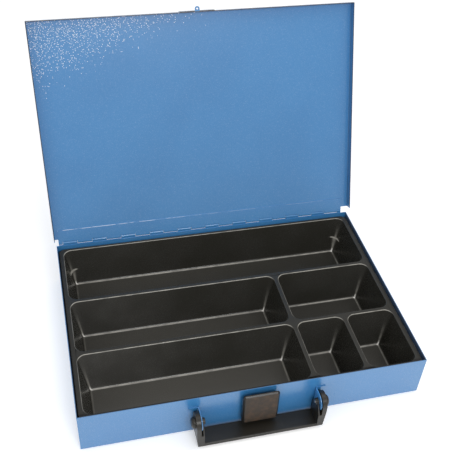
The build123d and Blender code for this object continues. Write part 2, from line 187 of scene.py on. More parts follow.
class Shader:
    """The node tree of a material or of the world, written node by node."""

    def __init__(self, owner: bpy.types.Material | bpy.types.World) -> None:
        """Start with an empty tree.

        Args:
            owner: The material or the world whose tree it is.
        """
        self.owner = owner
        self.owner.use_nodes = True
        self.tree = self.owner.node_tree
        self.tree.nodes.clear()

    def add(self, kind: str, settings: dict | None = None, inputs: dict | None = None) -> bpy.types.Node:
        """Add a node.

        Args:
            kind: The node's type, without the ShaderNode in front.
            settings: Its own settings, by name.
            inputs: Values or links by socket name or number.

        Returns:
            The node.
        """
        node = self.tree.nodes.new("ShaderNode" + kind)
        for key, value in (settings or {}).items():
            setattr(node, key, value)
        for key, value in (inputs or {}).items():
            self.feed(node.inputs[key], value)
        return node

    def node(
        self, kind: str, settings: dict | None = None, inputs: dict | None = None, out: str | int = 0
    ) -> Flow:
        """Add a node for one of its outputs.

        Args:
            kind: The node's type, without the ShaderNode in front.
            settings: Its own settings, by name.
            inputs: Values or links by socket name or number.
            out: The output to return.

        Returns:
            That output, ready for sums.
        """
        return Flow(self, self.add(kind, settings, inputs).outputs[out])

    def feed(self, socket: bpy.types.NodeSocket, value: Input) -> None:
        """Link a value to a socket or set it there.

        Args:
            socket: The socket to fill.
            value: A link or a plain value.
        """
        if isinstance(value, Flow):
            self.tree.links.new(value.socket, socket)
        elif socket.type == "RGBA" and len(value) == 3:
            socket.default_value = (*value, 1.0)
        else:
            socket.default_value = value

    def place(self) -> Flow:
        """The point on the object, in metres."""
        return self.node("TexCoord", out="Object")

    def split(self, vector: Flow) -> tuple[Flow, Flow, Flow]:
        """A vector as three separate numbers."""
        node = self.add("SeparateXYZ", inputs={0: vector})
        return tuple(Flow(self, node.outputs[axis]) for axis in range(3))

    def axes(self) -> tuple[Flow, Flow, Flow]:
        """The point on the object: across, depth and height, in metres."""
        return self.split(self.place())

    def noise(self, size: float, detail: float = 2.0, rough: float = 0.5) -> Flow:
        """Cloudy noise.

        Args:
            size: How large one cloud is, in millimetres.
            detail: How many finer layers it has.
            rough: How strong the finer layers are.

        Returns:
            Noise from 0 to 1.
        """
        scale = 1 / (size * MILLIMETRE)
        inputs = {"Vector": self.place(), "Scale": scale, "Detail": detail, "Roughness": rough}
        return self.node("TexNoise", inputs=inputs)

    def scatter(self, size: float, out: str) -> Flow:
        """Grains scattered over the object.

        Args:
            size: How far apart the grains are, in millimetres.
            out: Distance for the way to the nearest grain's middle, Color for its own random colour.

        Returns:
            That output.
        """
        scale = 1 / (size * MILLIMETRE)
        return self.node("TexVoronoi", {"feature": "F1"}, {"Vector": self.place(), "Scale": scale}, out)

    def grains(self, size: float) -> Flow:
        """Distance to the middle of the nearest of many scattered grains.

        Args:
            size: How far apart the grains are, in millimetres.

        Returns:
            0 at a grain's middle, about 1 between grains.
        """
        return self.scatter(size, "Distance")

    def lottery(self, size: float) -> Flow:
        """One random number for each of the same scattered grains.

        Args:
            size: How far apart the grains are, in millimetres.

        Returns:
            A number from 0 to 1, the same all over a grain.
        """
        return self.node("SeparateColor", inputs={0: self.scatter(size, "Color")})

    def blend(self, amount: Input, first: Input, second: Input) -> Flow:
        """Mix two colours.

        Args:
            amount: 0 for the first, 1 for the second.
            first: The first colour.
            second: The second colour.

        Returns:
            The mixed colour.
        """
        factor, first_colour, second_colour, mixed_colour = 0, 6, 7, 2
        inputs = {factor: amount, first_colour: first, second_colour: second}
        return self.node("Mix", {"data_type": "RGBA"}, inputs, mixed_colour)

    def layers(self, base: Input, coats: Iterable[tuple[Input, Colour]]) -> Flow:
        """Lay colours over one another.

        Args:
            base: The lowest colour.
            coats: How much of each further colour shows, and that colour.

        Returns:
            The colour that is seen.
        """
        for amount, colour in coats:
            base = self.blend(amount, base, colour)
        return base

    def bump(self, height: Input, depth: float, strength: float = 1.0) -> Flow:
        """Turn a height into a bent normal.

        Args:
            height: The height, 0 to 1.
            depth: What a height of 1 is, in millimetres.
            strength: How much of it shows.

        Returns:
            The bent normal.
        """
        inputs = {"Height": height, "Distance": depth * MILLIMETRE, "Strength": strength}
        return self.node("Bump", inputs=inputs, out="Normal")

    def finish(self, inputs: dict) -> bpy.types.Material:
        """Close a material's tree with the surface shader.

        Args:
            inputs: The surface shader's sockets.

        Returns:
            The finished material.
        """
        surface = self.node("BsdfPrincipled", inputs=inputs)
        self.add("OutputMaterial", inputs={"Surface": surface})
        return self.owner


# Finishes


@dataclass(frozen=True)
class PowderCoat:
    """Semi-gloss blue powder coat, finely structured, with painted glints and a painted highlight on the lid, and
    painted shade on its edges and on the case's inner walls. Lengths in millimetres.
    """

    name: str = "blue_powder_coat"
    colour: Colour = srgb(60, 134, 194)
    deep: Colour = srgb(55, 129, 189)
    # Light specks of the coat's structure, and the colour of painted glints and of a painted highlight.
    speck_and_glint: Colour = srgb(248, 251, 255)
    # Painted shade on the case's inner walls.
    wall_shade: Colour = srgb(52, 74, 104)
    # Painted shade on the lid's edges.
    edge_shade: Colour = srgb(34, 40, 58)
    roughness: float = 0.30
    cloud_size: float = 70.0
    structure_size: float = 0.9
    structure_depth: float = 0.03
    glint_spacing: float = 1.2
    glint_rim: Span = (0.26, 0.36)
    glint_corner: Span = (-170.0, 268.0)
    glint_reach: Span = (215.0, 78.0)
    inner_side: Span = (167.5, 167.7)
    inner_front: float = -114.7
    inner_back: Span = (113.8, 114.1)
    inner_height: Span = (39.0, 41.0)
    case_top: float = 49.2
    lid_bottom: float = 60.0
    lid_lean: float = 21.0
    flange_edge: float = -81.444
    flange_rim: Band = (-0.3, -0.2, 0.02, 0.06)
    flange_side: Span = (168.2, 168.8)
    leaf_end: float = 104.53
    leaf_rim: Span = (-0.35, -0.2)
    leaf_face: float = -88.944
    leaf_skin: Span = (-0.75, -0.7)
    leaf_side: Span = (166.0, 167.0)
    leaf_play: float = 0.1

    def make(self) -> bpy.types.Material:
        """Write the material."""
        coat = Shader(bpy.data.materials.new(self.name))
        clouds = coat.noise(self.cloud_size, 3)
        structure = coat.noise(self.structure_size, 2, 0.55)
        base = coat.blend(clouds.between(0.3, 0.7), self.deep, self.colour)
        coats = (
            (structure.between(0.5, 0.75) * 0.09, self.speck_and_glint),
            # Painted glints on the lid's inner face.
            (self.painted_glints(coat), self.speck_and_glint),
            # Painted shade on the case's inner walls above the insert.
            (self.inside(coat), self.wall_shade),
            # Painted shade on the lid's cut edge and side flanges.
            (self.shaded_edges(coat), self.edge_shade),
            # Painted highlight on the free edge of the lid's hinge leaf.
            (self.leaf_highlight(coat), self.speck_and_glint),
        )
        return coat.finish(
            {
                "Base Color": coat.layers(base, coats),
                "Roughness": self.roughness + structure * 0.12 - 0.06,
                "Normal": coat.bump(structure, self.structure_depth, 0.5),
                "IOR": 1.6,
                "Coat Weight": 0.8,
                "Coat Roughness": 0.18,
            }
        )

    def lid_axes(self, coat: Shader) -> tuple[Flow, Flow]:
        """The point's place along the open lid, upwards, and ahead of it, both in metres.

        Args:
            coat: The shader to write in.

        Returns:
            The two lengths, counted from the origin.
        """
        _, depth, up = coat.axes()
        lean = radians(self.lid_lean)
        return up * cos(lean) + depth * sin(lean), up * sin(lean) - depth * cos(lean)

    def inside(self, coat: Shader) -> Flow:
        """Where shade is painted: dark on the case's inner walls above the insert.

        Args:
            coat: The shader to write in.

        Returns:
            1 there, 0 elsewhere.
        """
        across, depth, up = coat.axes()
        sides = (1 - abs(across).past(*self.inner_side)) * (depth > self.inner_front * MILLIMETRE)
        height = up.past(*self.inner_height) * (up < self.case_top * MILLIMETRE)
        return sides * (1 - depth.past(*self.inner_back)) * height

    def shaded_edges(self, coat: Shader) -> Flow:
        """Where shade is painted dark: on the lid's cut edge, and a little on its side flanges.

        Args:
            coat: The shader to write in.

        Returns:
            1 there, 0 elsewhere.
        """
        across, _, up = coat.axes()
        _, ahead = self.lid_axes(coat)
        edge = (ahead - self.flange_edge * MILLIMETRE).within(*self.flange_rim)
        flank = abs(across).past(*self.flange_side) * 0.3
        return (edge + flank).between(0.0, 1.0) * (up > self.lid_bottom * MILLIMETRE)

    def leaf_highlight(self, coat: Shader) -> Flow:
        """Where a highlight is painted light: on the free edge of the lid's hinge leaf, broken up, more so at the
        left.

        Args:
            coat: The shader to write in.

        Returns:
            1 there, 0 elsewhere.
        """
        across = coat.axes()[0]
        along, ahead = self.lid_axes(coat)
        along = along - self.leaf_end * MILLIMETRE
        ahead = ahead - self.leaf_face * MILLIMETRE
        edge = along.past(*self.leaf_rim) * (along < self.leaf_play * MILLIMETRE)
        face = ahead.past(*self.leaf_skin) * (ahead < self.leaf_play * MILLIMETRE)
        mottle = coat.noise(9, 2).between(0.4, 0.52) * (1 - across.past(-140, 20) * 0.75)
        return edge * face * mottle * (1 - abs(across).past(*self.leaf_side)) * 0.8

    def painted_glints(self, coat: Shader) -> Flow:
        """Scatter painted glints, light specks that stand in for the coat's sparkle, on the lid's inner face, dense
        at its upper left corner and gone further on.

        Args:
            coat: The shader to write in.

        Returns:
            How much of the glint colour shows.
        """
        across, _, up = coat.axes()
        right = (across - self.glint_corner[0] * MILLIMETRE) * (1 / (self.glint_reach[0] * MILLIMETRE))
        down = (self.glint_corner[1] * MILLIMETRE - up) * (1 / (self.glint_reach[1] * MILLIMETRE))
        nearness = 1 - (right + down)
        spot = 1 - coat.grains(self.glint_spacing).between(*self.glint_rim)
        painted_highlight = nearness.between(-0.02, 0.9) * 0.8 > coat.lottery(self.glint_spacing)
        inner = coat.split(coat.node("TexCoord", out="Normal"))[1] < -0.5
        return spot * painted_highlight * inner


@dataclass(frozen=True)
class FormedSheet:
    """Black formed plastic sheet with painted highlights over its edges and into its corners, and painted light,
    reflection and shadow. Lengths in millimetres.
    """

    name: str = "black_formed_sheet"
    colour: Colour = srgb(49, 48, 44)
    dark: Colour = srgb(45, 44, 39)
    # The colours below stand for painted light and shade: highlights, glints, the rim's shadow, light on the floors
    # and a reflection on the walls.
    painted_highlight: Colour = srgb(196, 192, 182)
    bright: Colour = srgb(244, 241, 234)
    shaded: Colour = srgb(22, 20, 17)
    lit_floor: Colour = srgb(88, 86, 81)
    reflection_grey: Colour = srgb(98, 97, 94)
    roughness: float = 0.22
    wall_turn: Span = (0.15, 0.6)
    floor_turn: Span = (0.5, 0.9)
    foot_band: Band = (1.84, 1.95, 2.35, 2.9)
    glint_band: Band = (1.82, 1.95, 3.8, 8.0)
    lip_band: Band = (44.2, 44.5, 44.85, 44.98)
    ledge_band: Band = (20.3, 20.6, 21.1, 21.4)
    ledge_side: Span = (148.0, 150.0)
    ledge_depth: Span = (94.0, 96.0)
    streak_end: Span = (12.0, 44.0)
    floor_top: Span = (2.5, 3.5)
    rim_front: Span = (-109.5, -107.5)
    rim_bottom: float = 43.5

    def make(self) -> bpy.types.Material:
        """Write the material."""
        sheet = Shader(bpy.data.materials.new(self.name))
        grain = sheet.noise(0.6, 2, 0.6)
        clouds = sheet.noise(45, 3)
        base = sheet.blend(clouds.between(0.35, 0.7), self.dark, self.colour)
        surface = sheet.noise(26, 1) * 6.0 + sheet.noise(7, 2) * 0.8 + grain * 0.1
        return sheet.finish(
            {
                "Base Color": sheet.layers(base, (*self.shades(sheet, clouds), *self.lights(sheet))),
                "Roughness": self.roughness + grain * 0.10 - 0.02 + clouds * 0.03,
                "Normal": sheet.bump(surface, 0.07, 0.6),
                "IOR": 1.5,
                "Specular IOR Level": 0.4,
            }
        )

    def shades(self, sheet: Shader, clouds: Flow) -> tuple[tuple[Flow, Colour], ...]:
        """The broad painted light and shade: light on the floors, a reflection on the walls that face forward, and a
        shadow along the rim's front.

        Args:
            sheet: The shader to write in.
            clouds: Slow noise that breaks the haze up.

        Returns:
            How much of each colour shows, and the colour.
        """
        across, depth, up = sheet.axes()
        _, back, top = sheet.split(sheet.node("NewGeometry", out="Normal"))
        forward = (0 - back).between(*self.wall_turn)
        # Painted light on the floors, stronger towards the front and the left.
        floor = top.between(*self.floor_turn) * (1 - up.past(*self.floor_top))
        floor = floor * (0.9 - depth.past(-90, 80) * 0.45 - across.past(-120, 140) * 0.3)
        # Painted reflection on the walls that face forward, stronger towards the left and the front, broken up by
        # clouds.
        reflection = forward * (1 - across.past(-150, -20) * 0.8) * (1 - depth.past(-50, 110) * 0.7)
        reflection = reflection * (0.42 + clouds.between(0.35, 0.65) * 0.22)
        # Painted shadow along the rim's front, by the case's front wall.
        front = (1 - depth.past(*self.rim_front)) * (up > self.rim_bottom * MILLIMETRE)
        return (floor, self.lit_floor), (reflection, self.reflection_grey), (front, self.shaded)

    def lights(self, sheet: Shader) -> tuple[tuple[Flow, Colour], ...]:
        """The painted highlights along feet, lips, upright corners and ledges, and the painted glints at the foot
        corners.

        Args:
            sheet: The shader to write in.

        Returns:
            How much of each colour shows, and the colour.
        """
        across, depth, up = sheet.axes()
        side, back, top = sheet.split(sheet.node("NewGeometry", out="Normal"))
        forward = (0 - back).between(*self.wall_turn)
        rightward = side.between(*self.wall_turn)
        leftward = (0 - side).between(*self.wall_turn)
        upright = 1 - top.between(*self.floor_turn)
        patchy = sheet.noise(11, 2).between(0.3, 0.62) * 0.5 + 0.5
        corner = sheet.node("Attribute", {"attribute_name": CORNER_MARK}, out="Fac")
        # Painted highlights along the feet and the lips, down the upright corners and on the ledges, and painted
        # glints at the foot corners.
        foot = up.within(*self.foot_band) * patchy * (forward * 0.85 + leftward * 0.2 + 0.15)
        lip = up.within(*self.lip_band) * patchy * (forward * 0.8 + rightward * 0.5 + 0.1)
        fading = 1 - up.past(*self.streak_end) * 0.7
        streak = corner.between(0.1, 0.9) * fading * upright * patchy * 0.65
        ledge = up.within(*self.ledge_band) * abs(across).past(*self.ledge_side) * depth.past(*self.ledge_depth)
        glint = corner.between(0.35, 0.7) * up.within(*self.glint_band) * (forward + leftward > 0.4)
        return (
            (foot * 0.9, self.painted_highlight),
            (lip * 0.8, self.painted_highlight),
            (streak, self.painted_highlight),
            (ledge * 0.6, self.painted_highlight),
            (glint, self.bright),
        )


@dataclass(frozen=True)
class Moulding:
    """Moulded plastic with a fine spark-eroded grain."""

    name: str = "black_moulding"
    colour: Colour = srgb(34, 31, 25)
    mottle: Colour = srgb(50, 45, 36)
    roughness: float = 0.34

    def make(self) -> bpy.types.Material:
        """Write the material."""
        plastic = Shader(bpy.data.materials.new(self.name))
        grain = plastic.noise(0.35, 2, 0.6)
        clouds = plastic.noise(14, 3)
        return plastic.finish(
            {
                "Base Color": plastic.blend(clouds.between(0.5, 0.8) * 0.5, self.colour, self.mottle),
                "Roughness": self.roughness + grain * 0.16 - 0.06,
                "Normal": plastic.bump(grain, 0.03, 0.5),
            }
        )


@dataclass(frozen=True)
class LeverMoulding:
    """Latch plastic: a rubbed, warm face inside a dark glossy border. Lengths in millimetres."""

    name: str = "latch_moulding"
    face: Colour = srgb(50, 40, 30)
    rubbed: Colour = srgb(72, 54, 38)
    border: Colour = srgb(24, 22, 19)
    half_face: Span = (15.2, 15.7)
    face_height: Band = (11.3, 11.8, 46.2, 46.7)
    face_depth: float = -122.2

    def make(self) -> bpy.types.Material:
        """Write the material."""
        lever = Shader(bpy.data.materials.new(self.name))
        across, depth, up = lever.axes()
        inside = (1 - abs(across).past(*self.half_face)) * up.within(*self.face_height)
        inside = inside * (depth < self.face_depth * MILLIMETRE)
        grain = lever.noise(0.5, 3, 0.65)
        streaks = lever.noise(5, 3, 0.6)
        face = lever.blend(streaks.between(0.42, 0.68), self.face, self.rubbed)
        face = lever.blend(grain.between(0.55, 0.8) * 0.5, face, self.border)
        return lever.finish(
            {
                "Base Color": lever.blend(inside, self.border, face),
                "Roughness": 0.26 + inside * 0.26 + grain * 0.1,
                "Normal": lever.bump(grain, 0.04, 0.6),
            }
        )


@dataclass(frozen=True)
class PlatedSteel:
    """Zinc-plated steel, drawn along its length."""

    name: str = "plated_steel"
    colour: Colour = srgb(190, 190, 186)
    shaded: Colour = srgb(150, 150, 148)
    roughness: float = 0.28

    def make(self) -> bpy.types.Material:
        """Write the material."""
        steel = Shader(bpy.data.materials.new(self.name))
        grain = steel.noise(0.4, 2)
        clouds = steel.noise(5, 2)
        return steel.finish(
            {
                "Base Color": steel.blend(clouds * 0.4, self.colour, self.shaded),
                "Roughness": self.roughness + grain * 0.12,
                "Metallic": 1.0,
                "Normal": steel.bump(grain, 0.01, 0.5),
            }
        )


# Mesh handling


def clear_selection() -> None:
    """Deselect everything."""
    bpy.ops.object.select_all(action="DESELECT")


def take(piece: bpy.types.Object) -> None:
    """Select one object alone and make it active.

    Args:
        piece: The object to select.
    """
    clear_selection()
    piece.select_set(True)
    bpy.context.view_layer.objects.active = piece


def dress(piece: bpy.types.Object, material: bpy.types.Material) -> None:
    """Give a piece one material all over.

    Args:
        piece: The piece to dress.
        material: Its finish.
    """
    if not piece.material_slots:
        piece.data.materials.append(material)
    for place in piece.material_slots:
        place.material = material


def softened(node: str, name: str, edge: float, smooth: float = 32.0) -> bpy.types.Object:
    """Make a closed, smooth copy of a CAD node with softened edges.

    Args:
        node: The CAD node to stand for.
        name: The new piece's name.
        edge: How wide its sharp edges are broken, in millimetres.
        smooth: Up to which angle its faces shade as one, in degrees.

    Returns:
        The new piece.
    """
    source = bpy.data.objects[node]
    mesh = source.data.copy()
    mesh.materials.clear()
    piece = bpy.data.objects.new(name, mesh)
    bpy.context.scene.collection.objects.link(piece)
    take(piece)
    bpy.ops.object.mode_set(mode="EDIT")
    bpy.ops.mesh.select_all(action="SELECT")
    bpy.ops.mesh.customdata_custom_splitnormals_clear()
    bpy.ops.mesh.remove_doubles(threshold=0.002 * MILLIMETRE)
    bpy.ops.mesh.dissolve_limited(angle_limit=radians(0.4), use_dissolve_boundaries=False)
    bpy.ops.object.mode_set(mode="OBJECT")
    if edge:
        bevel = piece.modifiers.new("broken_edges", "BEVEL")
        bevel.width = edge * MILLIMETRE
        bevel.segments = 2
        bevel.limit_method = "ANGLE"
        bevel.angle_limit = radians(35)
        bevel.use_clamp_overlap = True
        bpy.ops.object.modifier_apply(modifier=bevel.name)
    shade(piece, smooth)
    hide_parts(node)
    return piece


def shade(piece: bpy.types.Object, smooth: float) -> None:
    """Shade a piece smooth, with its flat faces kept truly flat.

    Args:
        piece: The active piece.
        smooth: Up to which angle its faces shade as one, in degrees.
    """
    bpy.ops.object.shade_smooth_by_angle(angle=radians(smooth))
    flat = piece.modifiers.new("flat_faces", "WEIGHTED_NORMAL")
    flat.mode = "FACE_AREA"
    flat.weight = 100
    flat.keep_sharp = True
    bpy.ops.object.modifier_apply(modifier=flat.name)


def pick(piece: bpy.types.Object, kind: str, test: Callable[[Vector, Vector], bool]) -> None:
    """Select some of a piece's vertices, edges or faces, and stay in edit mode.

    Args:
        piece: The active piece.
        kind: VERT, EDGE or FACE.
        test: Says yes to the ones to select, from their lowest and highest corner in millimetres.
    """
    bpy.ops.object.mode_set(mode="EDIT")
    bpy.ops.mesh.select_mode(type=kind)
    bpy.ops.mesh.select_all(action="DESELECT")
    bpy.ops.object.mode_set(mode="OBJECT")
    mesh = piece.data
    for item in {"VERT": mesh.vertices, "EDGE": mesh.edges, "FACE": mesh.polygons}[kind]:
        indices = [item.index] if kind == "VERT" else item.vertices
        points = [mesh.vertices[index].co / MILLIMETRE for index in indices]
        low = Vector([min(point[axis] for point in points) for axis in range(3)])
        high = Vector([max(point[axis] for point in points) for axis in range(3)])
        item.select = test(low, high)
    bpy.ops.object.mode_set(mode="EDIT")


def block(name: str, low: Point, high: Point) -> bpy.types.Object:
    """Add a block between two corners, its place in its mesh.

    Args:
        name: The block's name.
        low: Its lowest corner, in millimetres.
        high: Its highest corner, in millimetres.

    Returns:
        The block, active and alone selected.
    """
    clear_selection()
    centre = (Vector(low) + Vector(high)) * MILLIMETRE / 2
    bpy.ops.mesh.primitive_cube_add(size=1.0, location=centre)
    piece = bpy.context.active_object
    piece.name = name
    piece.scale = (Vector(high) - Vector(low)) * MILLIMETRE
    bpy.ops.object.transform_apply(location=True, rotation=True, scale=True)
    return piece


# The box


class Body(Enum):
    """The rigid bodies of the frame."""

    CASE = "case"
    LID = "lid"
    HANDLE = "handle"
    LATCH = "latch"


class Slot(Enum):
    """The record's material slots."""

    PAINT = "blue_paint"
    STEEL = "steel"
    FORMED = "formed_plastic"
    MOULDED = "moulded_plastic"
    LATCH = "latch_plastic"


@dataclass(frozen=True)
class Wardrobe:
    """Every finish of the box, made once."""

    paint: bpy.types.Material
    formed: bpy.types.Material
    moulded: bpy.types.Material
    latch: bpy.types.Material
    steel: bpy.types.Material


def fasten(piece: bpy.types.Object, body: Body, finish: bpy.types.Material) -> None:
    """Dress a piece, let it ride on its body and report it.

    Args:
        piece: The finished piece.
        body: The body it moves with.
        finish: Its material.
    """
    dress(piece, finish)
    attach(piece, body.value)
    LOG.info("%s on %s: %d faces", piece.name, body.value, len(piece.data.polygons))


@dataclass
class PaintedSheetWork:
    """The painted steel: case, lid, hinge leaves, keeper and ears."""

    edge: float = 0.18

    def build(self, finishes: Wardrobe) -> None:
        """Dress all painted sheet.

        Args:
            finishes: The box's materials.
        """
        for node, body in (
            ("case_shell", Body.CASE),
            ("hinge_case_leaf", Body.CASE),
            ("handle_ear_left", Body.CASE),
            ("handle_ear_right", Body.CASE),
            ("lid_shell", Body.LID),
            ("lid_keeper", Body.LID),
            ("hinge_lid_leaf", Body.LID),
        ):
            piece = softened(node, f"{node}_painted", self.edge)
            fasten(piece, body, finishes.paint)


@dataclass
class Insert:
    """The formed insert: six compartments that narrow downwards, hung from one rim.

    Lengths are in millimetres. A compartment is given by the left, front, right and back of its mouth. Points whose
    heights differ by less than level count as one level.
    """

    half_width: float = 166.3
    half_depth: float = 113.3
    top: float = 45.0
    floor: float = 1.8
    skirt: float = 6.0
    sheet: float = 0.8
    draft: float = 11.0
    rim_corner: float = 6.0
    rim_round: float = 1.1
    lip_round: float = 0.9
    corner: float = 8.5
    foot_corner: float = 3.9
    foot_round: float = 2.9
    ledge: float = 21.0
    ledge_corner: float = 11.5
    over: float = 46.0
    under: float = 0.3
    level: float = 0.01
    corner_reach: float = 3.0
    corner_top: float = 1.5
    back: Cell = (-161.5, 34.8, 161.5, 110.0)
    others: tuple[Cell, ...] = (
        (-161.5, -36.1, 53.94, 30.6),
        (58.14, -36.1, 161.5, 30.6),
        (-161.5, -110.0, 53.94, -40.3),
        (58.14, -110.0, 107.72, -40.3),
        (111.92, -110.0, 161.5, -40.3),
    )

    def build(self, finishes: Wardrobe) -> None:
        """Form the insert and dress it.

        Args:
            finishes: The box's materials.
        """
        piece = self.blank()
        for cell in self.others:
            self.sink(piece, self.cutter(cell, self.over, self.radius(self.over)))
        self.sink(piece, self.cutter(self.back, self.ledge, self.ledge_corner))
        self.open_below(piece)
        self.round_lips(piece)
        self.mark_corners(piece)
        wall = piece.modifiers.new("sheet", "SOLIDIFY")
        wall.thickness = self.sheet * MILLIMETRE
        wall.offset = -1
        bpy.ops.object.modifier_apply(modifier=wall.name)
        shade(piece, 40.0)
        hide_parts("insert_tray")
        fasten(piece, Body.CASE, finishes.formed)

    def blank(self) -> bpy.types.Object:
        """The insert's outline as a block, with the rim's rounded corners and edge."""
        piece = block(
            "insert_formed",
            (-self.half_width, -self.half_depth, self.under),
            (self.half_width, self.half_depth, self.top),
        )
        pick(piece, "EDGE", lambda low, high: high.z - low.z > 1)
        bpy.ops.mesh.bevel(offset=self.rim_corner * MILLIMETRE, segments=8, affect="EDGES")
        pick(piece, "FACE", lambda low, high: low.z > self.top - self.level)
        bpy.ops.mesh.bevel(offset=self.rim_round * MILLIMETRE, segments=4, affect="EDGES")
        bpy.ops.mesh.select_all(action="SELECT")
        place = (0, 0, (self.top - self.skirt) * MILLIMETRE)
        bpy.ops.mesh.bisect(plane_co=place, plane_no=(0, 0, 1))
        bpy.ops.object.mode_set(mode="OBJECT")
        return piece

    def outline(self, cell: Cell, height: float) -> Cell:
        """A compartment's left, front, right and back at some height.

        Args:
            cell: The same at its mouth.
            height: The height, in millimetres.

        Returns:
            Its four sides there.
        """
        inset = (self.top - height) * tan(radians(self.draft))
        return (cell[0] + inset, cell[1] + inset, cell[2] - inset, cell[3] - inset)

    def radius(self, height: float) -> float:
        """The radius of the upright corners at some height."""
        share = (height - self.floor) / (self.top - self.floor)
        return self.foot_corner + (self.corner - self.foot_corner) * share

    def cutter(self, cell: Cell, first: float, back_corner: float) -> bpy.types.Object:
        """The inside of one compartment, as a solid whose corners tighten towards its foot.

        Args:
            cell: Its mouth: left, front, right and back.
            first: How high its lower part reaches; a ledge lies there if it ends below the mouth.
            back_corner: The radius of its two back corners at that height.

        Returns:
            The solid.
        """
        left, front, right, back = self.outline(cell, first)
        piece = block("compartment", (left, front, self.floor), (right, back, first))
        self.fit(piece, cell, first, self.floor)
        middle = (front + back) / 2
        for radius, behind in ((self.radius(first), False), (back_corner, True)):

            def is_corner(low: Vector, high: Vector) -> bool:
                """Say yes to the upright edges of the front or of the back."""
                return high.z - low.z > 1 and (low.y > middle) == behind and high.y - low.y < 20

            pick(piece, "EDGE", is_corner)
            bpy.ops.mesh.bevel(offset=radius * MILLIMETRE, segments=9, affect="EDGES")
        upper, mouth = self.radius(first), self.radius(self.over)
        self.turn_corners(piece, cell, (self.floor, self.floor), (upper, back_corner), self.foot_corner)
        if first < self.over:
            above = first + 0.3
            self.raise_top(piece, first, above)
            self.turn_corners(piece, cell, (first, above), (upper, back_corner), upper)
            self.raise_top(piece, above, self.over)
            self.turn_corners(piece, cell, (above, self.over), (upper, upper), mouth)
        pick(piece, "FACE", lambda _, high: high.z < self.floor + self.level)
        bpy.ops.mesh.bevel(offset=self.foot_round * MILLIMETRE, segments=5, affect="EDGES")
        bpy.ops.object.mode_set(mode="OBJECT")
        return piece

    def raise_top(self, piece: bpy.types.Object, old: float, new: float) -> None:
        """Extrude a solid's top face straight upwards.

        Args:
            piece: The compartment's solid.
            old: The height of its top face.
            new: The height to reach.
        """
        pick(piece, "FACE", lambda low, _: low.z > old - self.level)
        bpy.ops.mesh.extrude_region_move(TRANSFORM_OT_translate={"value": (0, 0, (new - old) * MILLIMETRE)})

    def fit(self, piece: bpy.types.Object, cell: Cell, old: float, new: float) -> None:
        """Scale the points of one level from the outline of another height to their own.

        Args:
            piece: The compartment's solid.
            cell: Its mouth.
            old: The height whose outline they have.
            new: Their own height.
        """
        had, has = self.outline(cell, old), self.outline(cell, new)
        share = [(has[axis + 2] - has[axis]) / (had[axis + 2] - had[axis]) for axis in (0, 1)]
        centre = Vector([(had[axis] + had[axis + 2]) / 2 for axis in (0, 1)] + [new]) * MILLIMETRE
        pick(piece, "VERT", lambda low, _: abs(low.z - new) < self.level)
        bpy.ops.transform.resize(value=(*share, 1), center_override=centre)

    def turn_corners(
        self,
        piece: bpy.types.Object,
        cell: Cell,
        heights: Span,
        radii: Span,
        new: float,
    ) -> None:
        """Move the rounded corners of one level to its outline and give them another radius.

        Args:
            piece: The compartment's solid.
            cell: Its mouth.
            heights: The height whose outline they have, and their own.
            radii: The radius of the front corners and of the back ones so far.
            new: The radius wanted.
        """
        had, has = self.outline(cell, heights[0]), self.outline(cell, heights[1])
        for side in (0, 2):
            for end, old in ((1, radii[0]), (3, radii[1])):
                corner = Vector((had[side], had[end], heights[1]))
                target = Vector((has[side], has[end], heights[1]))

                def near(_: Vector, point: Vector) -> bool:
                    """Whether a point belongs to this corner of this level."""
                    away = point - corner
                    return abs(away.z) < self.level and max(abs(away.x), abs(away.y)) < old * 1.1

                pick(piece, "VERT", near)
                bpy.ops.transform.translate(value=(target - corner) * MILLIMETRE)
                share = new / old
                bpy.ops.transform.resize(value=(share, share, 1), center_override=target * MILLIMETRE)

    @staticmethod
    def sink(piece: bpy.types.Object, cutter: bpy.types.Object) -> None:
        """Sink a compartment into the block.

        Args:
            piece: The block.
            cutter: The compartment's inside, used up by this.
        """
        take(piece)
        cut = piece.modifiers.new("compartment", "BOOLEAN")
        cut.operation = "DIFFERENCE"
        cut.solver = "EXACT"
        cut.object = cutter
        bpy.ops.object.modifier_apply(modifier=cut.name)
        bpy.data.objects.remove(cutter)

    def open_below(self, piece: bpy.types.Object) -> None:
        """Take away the block's bottom and its sides under the rim's skirt.

        Args:
            piece: The block with its compartments.
        """
        skirt_end = self.top - self.skirt + self.level
        wide = self.half_width - self.rim_corner - 0.1
        deep = self.half_depth - self.rim_corner - 0.1

        def waste(low: Vector, high: Vector) -> bool:
            """Whether a face lies at the bottom or outside, under the skirt."""
            bottom = high.z < self.floor - 1
            outside = low.x > wide or high.x < -wide or low.y > deep or high.y < -deep
            return bottom or (high.z < skirt_end and low.z < self.floor and outside)

        pick(piece, "FACE", waste)
        bpy.ops.mesh.delete(type="FACE")
        bpy.ops.mesh.select_all(action="SELECT")
        bpy.ops.mesh.quads_convert_to_tris()
        bpy.ops.mesh.remove_doubles(threshold=0.05 * MILLIMETRE)
        bpy.ops.mesh.dissolve_degenerate(threshold=0.02 * MILLIMETRE)
        bpy.ops.object.mode_set(mode="OBJECT")

